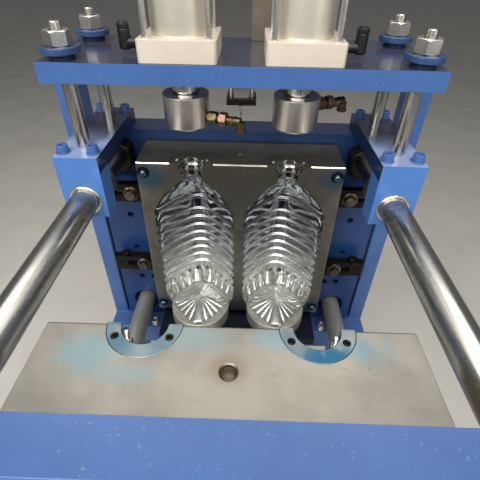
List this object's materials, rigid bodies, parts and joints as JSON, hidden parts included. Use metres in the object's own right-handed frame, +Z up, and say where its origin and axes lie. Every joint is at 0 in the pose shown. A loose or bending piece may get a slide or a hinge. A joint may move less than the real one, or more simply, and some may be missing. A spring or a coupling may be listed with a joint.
{
  "type": "blow moulding machine",
  "caption": "Stretch blow moulding machine for bottles: a ribbed split mould with base inserts closes on tie bars under nozzles carried by a bridge of pneumatic cylinders.",
  "frame": {"origin": "centre of the footprint on the floor", "axes": "+Z up, +X to the right seen from the clamp end, +Y from the clamp cylinder towards the fixed mould half"},
  "size_m": [0.652, 1.5, 1.9818],
  "materials": {
    "blue_paint": "gloss",
    "deep_blue_paint": "gloss",
    "mould_steel": "satin",
    "turned_steel": "satin",
    "chrome_bar": "gloss",
    "white_enamel": "satin",
    "black_oxide": "satin",
    "brass": "satin",
    "yellow_zinc": "satin",
    "cast_aluminium": "satin",
    "polished_aluminium": "polished"
  },
  "bodies": {
    "machine_frame": {"base_frame": "blue_paint", "levelling_feet": "black_oxide", "rear_platen": "deep_blue_paint", "left_bearing_block": "blue_paint", "right_bearing_block": "blue_paint", "left_shoulder_plate": "blue_paint", "right_shoulder_plate": "blue_paint", "shoulder_screws": "blue_paint", "upper_tie_bars": "chrome_bar", "lower_tie_bars": "chrome_bar", "tie_bar_nuts": "yellow_zinc", "block_bushes": "turned_steel", "front_end_plate": "blue_paint", "clamp_cylinder": "white_enamel", "clamp_tie_rods": "chrome_bar", "columns": "chrome_bar", "column_washers": "blue_paint", "column_nuts": "chrome_bar", "bridge_plate": "blue_paint", "left_lower_cap": "white_enamel", "right_lower_cap": "white_enamel", "left_barrel": "white_enamel", "right_barrel": "white_enamel", "left_upper_cap": "white_enamel", "right_upper_cap": "white_enamel", "cylinder_tie_rods": "chrome_bar", "cap_elbows": "black_oxide", "left_stretch_cylinder": "cast_aluminium", "right_stretch_cylinder": "cast_aluminium", "rear_mould_half": "mould_steel", "rear_neck_rings": "turned_steel", "rear_ring_screws": "chrome_bar", "guide_pins": "chrome_bar", "rear_mould_clamps": "black_oxide", "rear_clamp_bolts": "yellow_zinc", "jack_screws": "black_oxide", "centre_cylinder": "cast_aluminium", "valve_block": "cast_aluminium", "base_lift_cylinder": "deep_blue_paint", "frame_bolts": "chrome_bar"},
    "mould_carriage": {"moving_platen": "blue_paint", "platen_bushes": "yellow_zinc", "front_mould_half": "mould_steel", "front_neck_rings": "turned_steel", "front_ring_screws": "black_oxide", "guide_bushes": "yellow_zinc", "front_mould_clamps": "black_oxide", "front_clamp_bolts": "yellow_zinc", "clamp_rod": "chrome_bar"},
    "left_nozzle": {"left_nozzle_rod": "chrome_bar", "left_nozzle_sleeve": "turned_steel", "left_air_fitting": "brass"},
    "right_nozzle": {"right_nozzle_rod": "chrome_bar", "right_nozzle_sleeve": "turned_steel", "right_air_fitting": "brass"},
    "left_stretch": {"left_stretch_rod": "chrome_bar"},
    "right_stretch": {"right_stretch_rod": "chrome_bar"},
    "bottle_base": {"base_plate": "mould_steel", "base_inserts": "polished_aluminium", "base_guide_rods": "chrome_bar"}
  },
  "joints": [
    {"name": "mould_close", "type": "slide", "parent": "machine_frame", "child": "mould_carriage", "axis": [0, 1, 0], "range_m": [0, 0.312]},
    {"name": "left_nozzle_slide", "type": "slide", "parent": "machine_frame", "child": "left_nozzle", "axis": [0, 0, -1], "range_m": [0, 0.06]},
    {"name": "right_nozzle_slide", "type": "slide", "parent": "machine_frame", "child": "right_nozzle", "axis": [0, 0, -1], "range_m": [0, 0.06]},
    {"name": "left_stretch_slide", "type": "slide", "parent": "machine_frame", "child": "left_stretch", "axis": [0, 0, -1], "range_m": [0, 0.37]},
    {"name": "right_stretch_slide", "type": "slide", "parent": "machine_frame", "child": "right_stretch", "axis": [0, 0, -1], "range_m": [0, 0.37]},
    {"name": "base_lift", "type": "slide", "parent": "machine_frame", "child": "bottle_base", "axis": [0, 0, -1], "range_m": [0, 0.04]}
  ]
}
